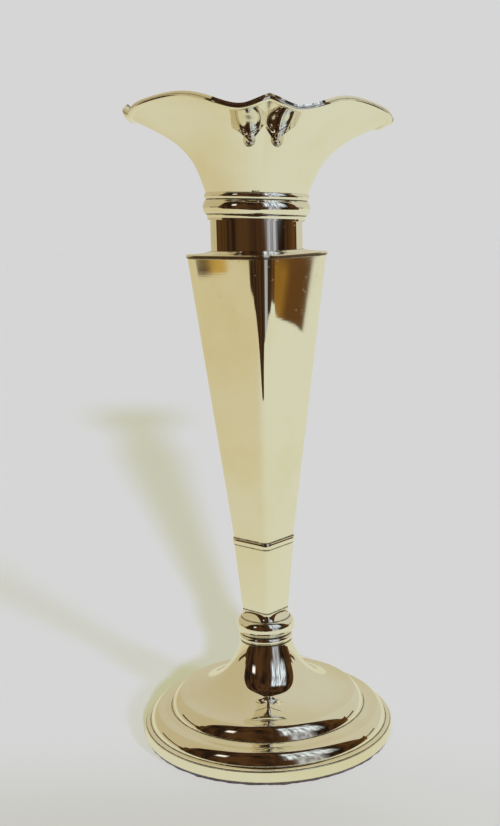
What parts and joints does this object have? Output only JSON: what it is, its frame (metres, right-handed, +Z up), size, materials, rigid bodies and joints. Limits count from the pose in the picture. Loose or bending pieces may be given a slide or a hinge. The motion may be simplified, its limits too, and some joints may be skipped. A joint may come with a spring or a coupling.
{
  "type": "trumpet vase",
  "caption": "Tall trumpet vase: flared, lobed mouth and collared neck on a square tapering body, over a round stepped and weighted foot; holds a few cut flowers.",
  "frame": {"origin": "middle of the underside of the felt, at the floor", "axes": "+Z up along the body, +X and +Y square to the body's faces; the mouth leans a little towards the +X +Y corner"},
  "size_m": [0.08, 0.08, 0.2006],
  "materials": {
    "silver": "polished silver with a faint warm tone and fine rub marks",
    "felt": "dark green pressed felt",
    "loading": "dark pitch and plaster filling",
    "plate_iron": "plain iron",
    "plug_brass": "plain turned brass"
  },
  "bodies": {
    "root": {"base_felt": "felt", "base_plate": "plate_iron", "body_foot": "silver", "body_plug": "plug_brass", "collar_bead": "silver", "collar_fillet": "silver", "collar_top_bead": "silver", "foot_band": "silver", "foot_loading": "loading", "foot_shell": "silver", "knop": "silver", "lower_body": "silver", "mouth": "silver", "neck_tube": "silver", "rim_wire_1": "silver", "rim_wire_2": "silver", "rim_wire_3": "silver", "rim_wire_4": "silver", "shoulder_plate": "silver", "stem_ring": "silver", "tie_nut": "plate_iron", "tie_stud": "plate_iron", "tie_washer": "plate_iron", "upper_body": "silver", "waist_band": "silver"}
  },
  "joints": []
}
